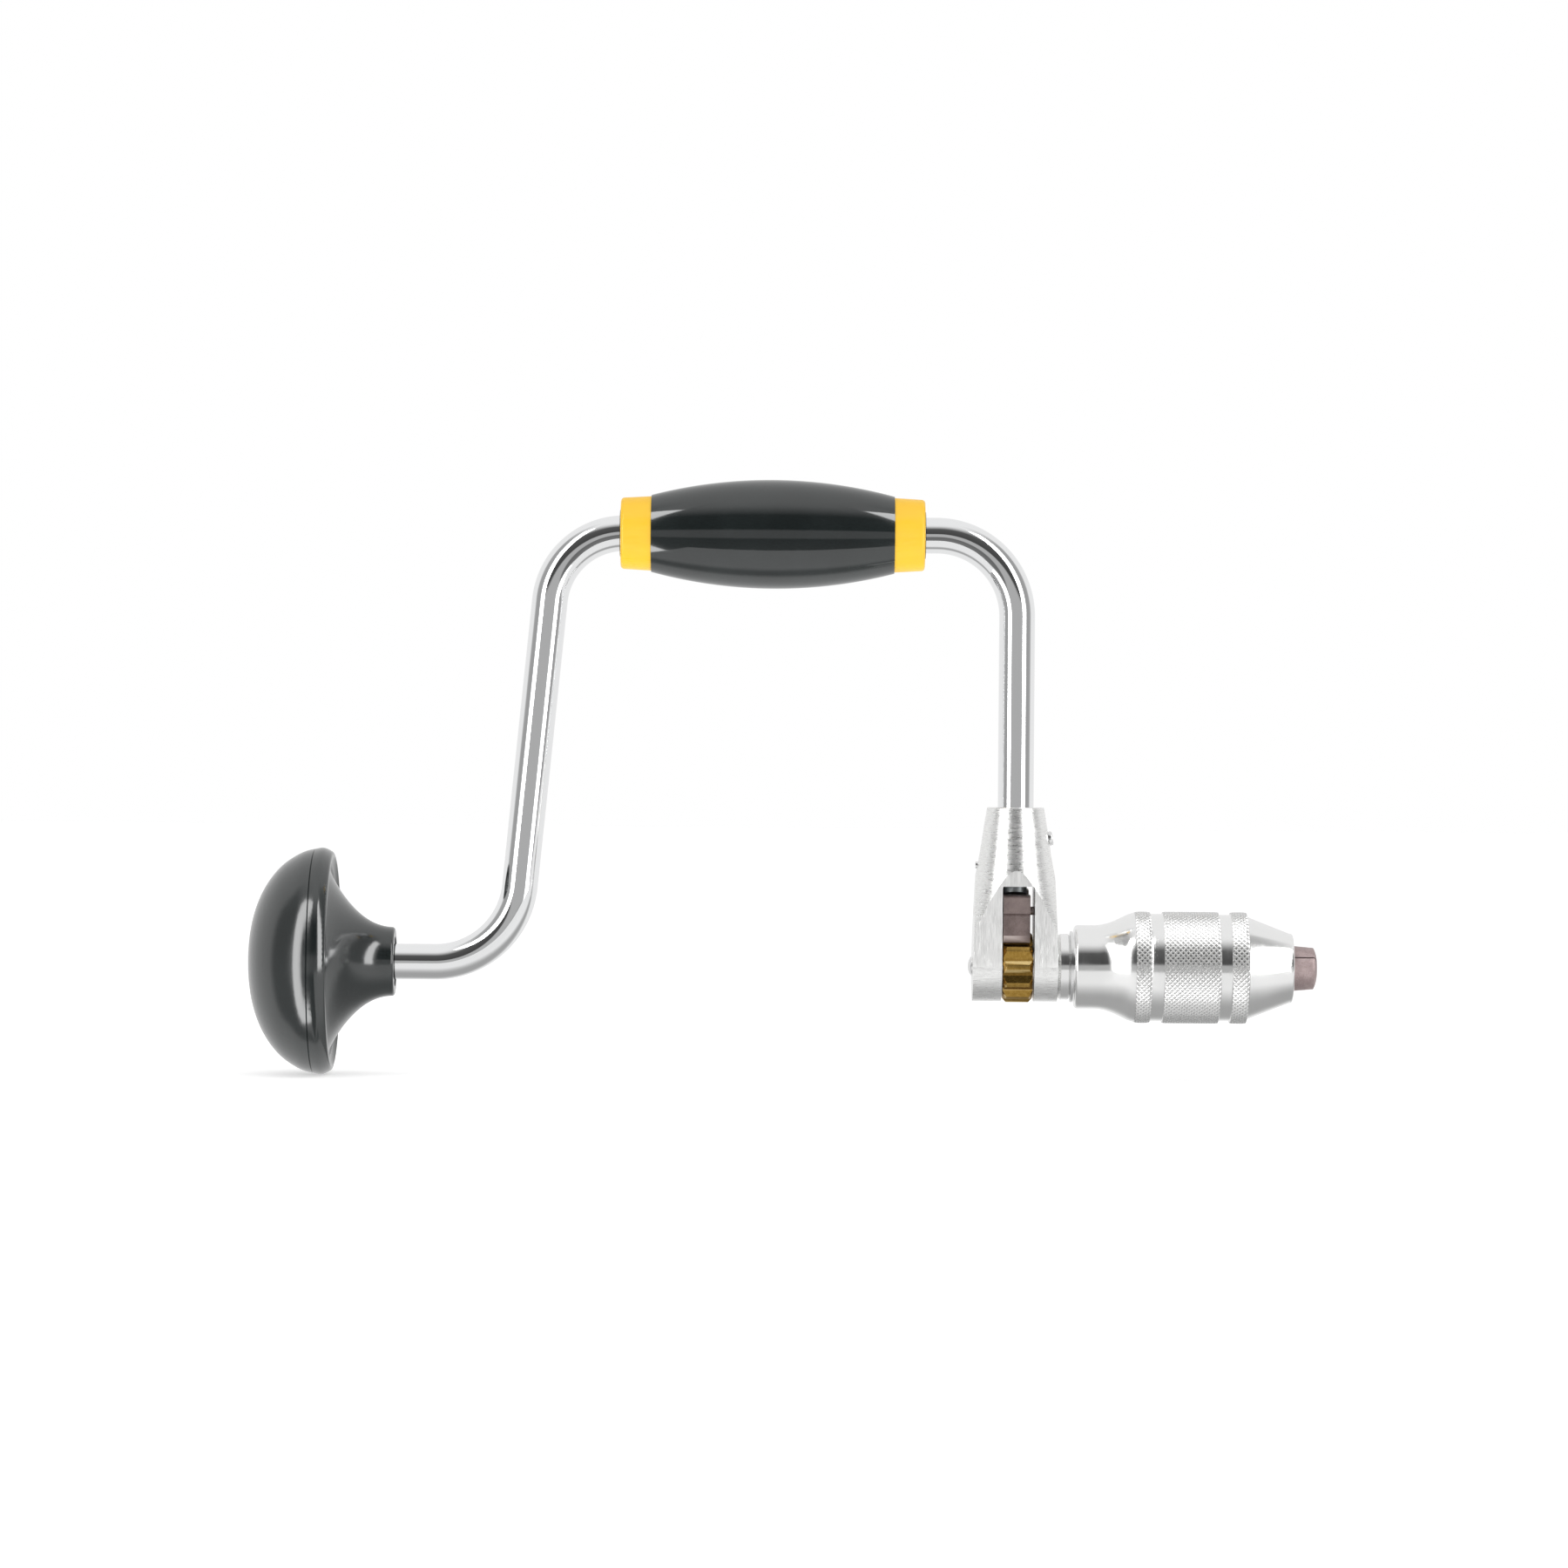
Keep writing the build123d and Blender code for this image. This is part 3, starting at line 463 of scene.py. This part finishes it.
def smooth_through(points, steps):
    """Catmull-Rom curve through (x, r) points."""
    def blend(t, a, b, c, d):
        square = (2 * a - 5 * b + 4 * c - d) * t ** 2
        cube = (3 * b - a - 3 * c + d) * t ** 3
        return 0.5 * (2 * b + (c - a) * t + square + cube)

    padded = [points[0]] + list(points) + [points[-1]]
    curve = []
    for four in zip(padded, padded[1:], padded[2:], padded[3:]):
        for k in range(steps):
            curve.append(tuple(blend(k / steps, *values) for values in zip(*four)))
    curve.append(points[-1])
    return curve


def lathe(bm, outline, segments):
    """Turns a closed outline of (x, radius) points, all off the axis, about the drive axis."""
    turns = [2 * pi * k / segments for k in range(segments)]
    rings = [[bm.verts.new((x, r * cos(a), r * sin(a))) for a in turns] for x, r in outline]
    for a, b in zip(rings, rings[1:] + rings[:1]):
        for k in range(segments):
            n = (k + 1) % segments
            bm.faces.new((a[k], b[k], b[n], a[n]))


def knurl_band(bm, x0, x1, top_r, depth, around, along, crown):
    """Closed ring whose outside is cut into flat-topped diamonds; returns their tops and groove walls.

    around and along count the diamonds, and crown is how much lower the band is at its two edges.
    """
    half_step = (x1 - x0) / (2 * along)
    low_r = top_r - depth
    inner_r = low_r - KNURL_SKIN

    def point(i, turn, r):
        r -= crown * (i / along - 1) ** 2
        if i in (0, 2 * along):
            r -= KNURL_EDGE_DROP
        a = 2 * pi * turn / around
        return Vector((x0 + half_step * i, r * cos(a), r * sin(a)))

    corners = {}
    for i in range(2 * along + 1):
        for j in range(around):
            corners[i, j] = bm.verts.new(point(i, j + 0.5 * (i % 2), low_r))
    flats = []
    walls = []
    edge_rings = {0: [], 2 * along: []}
    for i in range(2 * along + 1):
        shift = i % 2
        for j in range(around):
            middle_turn = j + 0.5 * shift + 0.5
            middle = point(i, middle_turn, top_r)
            beside = (j + shift) % around
            ring = [corners[i, j], None, corners[i, (j + 1) % around], None]
            if i < 2 * along:
                ring[1] = corners[i + 1, beside]
            if i > 0:
                ring[3] = corners[i - 1, beside]
            turns = (middle_turn - 0.5, middle_turn, middle_turn + 0.5, middle_turn)
            steps = (0, 1, 0, -1)
            tops = []
            bottoms = []
            for corner, turn, step in zip(ring, turns, steps):
                if corner is None:
                    continue
                lifted = point(i + step, turn, top_r)
                tops.append(bm.verts.new(middle + (lifted - middle) * DIAMOND_FLAT))
                bottoms.append(corner)
            flats.append(bm.faces.new(tops))
            count = len(tops)
            for k in range(count):
                n = (k + 1) % count
                on_edge = i in edge_rings and {bottoms[k], bottoms[n]} == {ring[0], ring[2]}
                if on_edge:
                    edge_rings[i].append((j, bottoms[k], tops[k], tops[n], bottoms[n]))
                else:
                    walls.append(bm.faces.new((bottoms[k], bottoms[n], tops[n], tops[k])))
    inner = {}
    for i in edge_rings:
        for j in range(around):
            inner[i, j] = bm.verts.new(point(i, j, inner_r))
    for i, cells in edge_rings.items():
        for j, low_a, top_a, top_b, low_b in cells:
            in_a, in_b = inner[i, j], inner[i, (j + 1) % around]
            if low_a is not corners[i, j]:
                in_a, in_b = in_b, in_a
            walls.append(bm.faces.new((low_a, top_a, top_b, low_b, in_b, in_a)))
    for j in range(around):
        n = (j + 1) % around
        bm.faces.new((inner[0, j], inner[0, n], inner[2 * along, n], inner[2 * along, j]))
    return flats, walls


# ------------------------------------------------------------------ pieces

FOOT_LENGTH = 64.9 * MM        # from the rod's end in the head to the corner of its first bend
ROD_LEAN = radians(5.55)       # the arm beside the head leans this far off upright
BEND_RADII = (30.0 * MM, 26.5 * MM, 28.5 * MM)
BEND_STEPS = 40
ROD_STEP = 4 * MM
ROD_SEGMENTS = 96
SOCKET_FLOOR = 45.9 * MM       # height of the rod's lower end over the yoke's lowest point

KNURL_CUT = 0.32 * MM
KNURL_AROUND = 66
SHELL_BORE = 10.06 * MM
SHELL_MOUTH = 9.6 * MM
SHELL_CAVITY = 14.4 * MM
SHELL_SEGMENTS = 256
REAR_ROUND = 1.2 * MM          # rounding of the shell's rear edge
NOSE_ROUND = 0.95 * MM         # rounding of its front edge


def rod_path():
    """Centre line of the crank, as straight runs and true arcs."""
    low, high = (Vector(corner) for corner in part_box("crank_frame"))
    grip_low, grip_high = (Vector(corner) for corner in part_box("grip"))
    rod_r = (high.y - low.y) / 2
    throw = (grip_low.z + grip_high.z) / 2
    upright_x = high.x - rod_r
    foot_x = low.x + FOOT_LENGTH
    corners = [
        Vector((low.x, 0, 0)),
        Vector((foot_x, 0, 0)),
        Vector((foot_x + throw * tan(ROD_LEAN), 0, throw)),
        Vector((upright_x, 0, throw)),
        Vector((upright_x, 0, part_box("ratchet_yoke")[0][2] + SOCKET_FLOOR)),
    ]
    path = [corners[0]]
    for before, corner, after, radius in zip(corners, corners[1:], corners[2:], BEND_RADII):
        into = (corner - before).normalized()
        out = (after - corner).normalized()
        turn = into.angle(out)
        start = corner - into * radius * tan(turn / 2)
        inward = (out - into * into.dot(out)).normalized()
        centre = start + inward * radius
        for i in range(BEND_STEPS + 1):
            a = turn * i / BEND_STEPS
            path.append(centre + (into * sin(a) - inward * cos(a)) * radius)
    path.append(corners[-1])
    return path, rod_r


def build_rod(material):
    """Smooth bent rod, with a UV map that runs round it and along it."""
    path, rod_r = rod_path()
    spread = []
    for a, b in zip(path, path[1:]):
        parts = max(1, round((b - a).length / ROD_STEP))
        spread += [a.lerp(b, k / parts) for k in range(parts)]
    spread.append(path[-1])
    bm = bmesh.new()
    run = bm.loops.layers.uv.new("run")
    side = Vector((0, 1, 0))
    turns = [2 * pi * s / ROD_SEGMENTS for s in range(ROD_SEGMENTS)]
    rings = []
    travelled = [0.0]
    for a, b in zip(spread, spread[1:]):
        travelled.append(travelled[-1] + (b - a).length)
    for k, centre in enumerate(spread):
        ahead = spread[min(k + 1, len(spread) - 1)] - spread[max(k - 1, 0)]
        up = side.cross(ahead.normalized())
        rings.append([bm.verts.new(centre + (side * cos(a) + up * sin(a)) * rod_r) for a in turns])
    for k, (a, b) in enumerate(zip(rings, rings[1:])):
        for s in range(ROD_SEGMENTS):
            n = (s + 1) % ROD_SEGMENTS
            face = bm.faces.new((a[s], a[n], b[n], b[s]))
            marks = ((s, k), (s + 1, k), (s + 1, k + 1), (s, k + 1))
            for loop, (around, along) in zip(face.loops, marks):
                loop[run].uv = (around / ROD_SEGMENTS, travelled[along])
    bm.faces.new(rings[0])
    bm.faces.new(rings[-1])
    new_piece("crank_rod", bm, [material], "frame", "crank_frame", sharp=50)


def shell_outline(rear, front, top, floor_r):
    """Closed outline of the chuck shell, with the knurled bands left out down to floor_r."""
    rear_r = top - 4.95 * MM
    bell = [
        (6.5, 14.8), (9.0, 14.95), (11.4, 15.45), (13.9, 16.35), (16.4, 17.5), (18.9, 18.7), (21.0, 19.35),
    ]
    outline = [(rear, SHELL_BORE), (rear, rear_r - REAR_ROUND)]
    outline += arc((rear + REAR_ROUND, rear_r - REAR_ROUND), REAR_ROUND, 180, 90, 8)
    outline += smooth_through([(rear + x * MM, r * MM) for x, r in bell], 6)
    bands_and_grooves = [                       # mm from the rear, metres of radius
        (21.3, top - 0.4 * MM), (21.45, floor_r), (26.75, floor_r), (26.9, top - 0.62 * MM),
        (27.3, top - 0.75 * MM), (31.1, top - 0.75 * MM), (31.4, top - 0.5 * MM), (31.5, floor_r),
        (50.9, floor_r), (51.0, top - 0.6 * MM), (51.3, top - 0.95 * MM), (55.0, top - 0.95 * MM),
        (55.3, top - 0.7 * MM), (55.4, floor_r), (60.9, floor_r), (61.0, top - 0.9 * MM),
        (61.3, top - 1.55 * MM),
    ]
    outline += [(rear + x * MM, r) for x, r in bands_and_grooves]
    outline.append((front - 1.2 * MM, 12.35 * MM))
    outline += arc((front - 1.0 * MM, 11.45 * MM), NOSE_ROUND, 66, 0, 6)
    outline += [
        (front, 10.0 * MM), (front - 0.5 * MM, SHELL_MOUTH + 0.15 * MM),
        (front - 18.1 * MM, SHELL_CAVITY), (front - 35.5 * MM, SHELL_CAVITY),
        (front - 35.5 * MM, SHELL_BORE),
    ]
    return outline


def build_shell(smooth_metal, knurl_metal, groove_metal):
    """Chuck shell with turned bell, grooves and nose, and three bands of cut knurling."""
    low, high = (Vector(corner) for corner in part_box("chuck_shell"))
    rear, front, top = low.x, high.x, high.z
    bm = bmesh.new()
    lathe(bm, shell_outline(rear, front, top, top - KNURL_CUT - 0.25 * MM), SHELL_SEGMENTS)
    bands = (                                   # start, end, diamonds along, drop at the edges
        (21.4 * MM, 26.8 * MM, 3, 0.15 * MM),
        (31.3 * MM, 51.0 * MM, 11, 0.0),
        (55.3 * MM, 60.95 * MM, 3, 0.06 * MM),
    )
    for start, end, along, crown in bands:
        cut = knurl_band(bm, rear + start, rear + end, top, KNURL_CUT, KNURL_AROUND, along, crown)
        for material_index, faces in enumerate(cut, 1):
            for face in faces:
                face.material_index = material_index
    metals = [smooth_metal, knurl_metal, groove_metal]
    new_piece("knurled_shell", bm, metals, "shell", "chuck_shell", sharp=24)


# ------------------------------------------------------------------ assembly

WELD_REACH = 0.001 * MM
EDGE_STEPS = 3
EDGE_ANGLE = radians(25)


def finish_nodes(table):
    """Puts a material on each listed CAD node, and rounds its edges by the given width, if any."""
    for material, names, edge in table:
        for name in names:
            node = NODES[name]
            node.data.materials.clear()
            node.data.materials.append(material)
            if edge:
                weld = node.modifiers.new("weld", "WELD")
                weld.merge_threshold = WELD_REACH
                bevel = node.modifiers.new("edge", "BEVEL")
                bevel.width = edge
                bevel.segments = EDGE_STEPS
                bevel.limit_method = "ANGLE"
                bevel.angle_limit = EDGE_ANGLE
                bevel.harden_normals = True


def main():
    add_camera()
    add_floor()
    add_sky()
    add_lights()
    gloss = {"Specular_IOR_Level": 0.0, "Coat_Weight": 1.0, "Coat_IOR": 1.85}
    deep, bloom = (0.006, 0.009, 0.009), (0.010, 0.014, 0.014)
    black = moulded("black_grip", deep, bloom, 0.3, Coat_Roughness=0.07, **gloss)
    satin = moulded("black_head", deep, bloom, 0.3, Coat_Roughness=0.15, **gloss)
    yellow = moulded("yellow_plastic", (0.98, 0.59, 0.014), (0.95, 0.55, 0.012), 0.32)
    nylon = moulded("nylon_bush", (0.05, 0.05, 0.055), (0.08, 0.08, 0.085), 0.5)
    jaws = sintered_brown("sintered_jaws", (0.30, 0.232, 0.228), (0.46, 0.37, 0.365))
    pawl = sintered_brown("sintered_pawl", (0.125, 0.094, 0.088), (0.20, 0.152, 0.144))
    bright = plain_steel("screw_steel", (0.8, 0.8, 0.8), 0.2)
    bearing = plain_steel("bearing_steel", (0.6, 0.6, 0.62), 0.3)
    dark = plain_steel("spring_steel", (0.3, 0.3, 0.31), 0.35)
    blued = plain_steel("blued_steel", (0.30, 0.32, 0.33), 0.5)
    nickel = turned_nickel()
    ground = ground_nickel()
    gold = gold_plate()
    finish_nodes([
        (black, ["grip"], 0),
        (satin, ["head_cap", "head_body"], 0),
        (yellow, ["collar_left", "collar_right"], 0),
        (nylon, ["grip_bush_left", "grip_bush_right"], 0),
        (ground, ["ratchet_yoke"], 0),
        (gold, ["ratchet_wheel"], 0.12 * MM),
        (gold, ["bearing_cage"], 0),
        (pawl, ["pawl_rocker"], 0.22 * MM),
        (pawl, ["pawl_pin"], 0),
        (jaws, ["jaw_upper", "jaw_lower"], 0.15 * MM),
        (bright, ["lock_screw", "locating_dowel", "spindle_screw", "dust_ring"], 0),
        (nickel, ["chuck_spindle"], 0),
        (bearing, ["rod_race", "pad_race", "thrust_balls", "wheel_pin", "jaw_cup", "head_bush"], 0),
        (dark, ["detent_spring", "jaw_spring", "head_circlip"], 0),
        (blued, ["detent_plunger"], 0),
    ])
    build_rod(chrome_rod())
    flats = knurled_nickel("knurl_flats", (0.90, 0.90, 0.895), 0.15)
    # the groove walls of the knurling are darker and duller than the flat diamond tops
    grooves = knurled_nickel("knurl_grooves", (0.66, 0.66, 0.655), 0.34)
    build_shell(nickel, flats, grooves)


main()
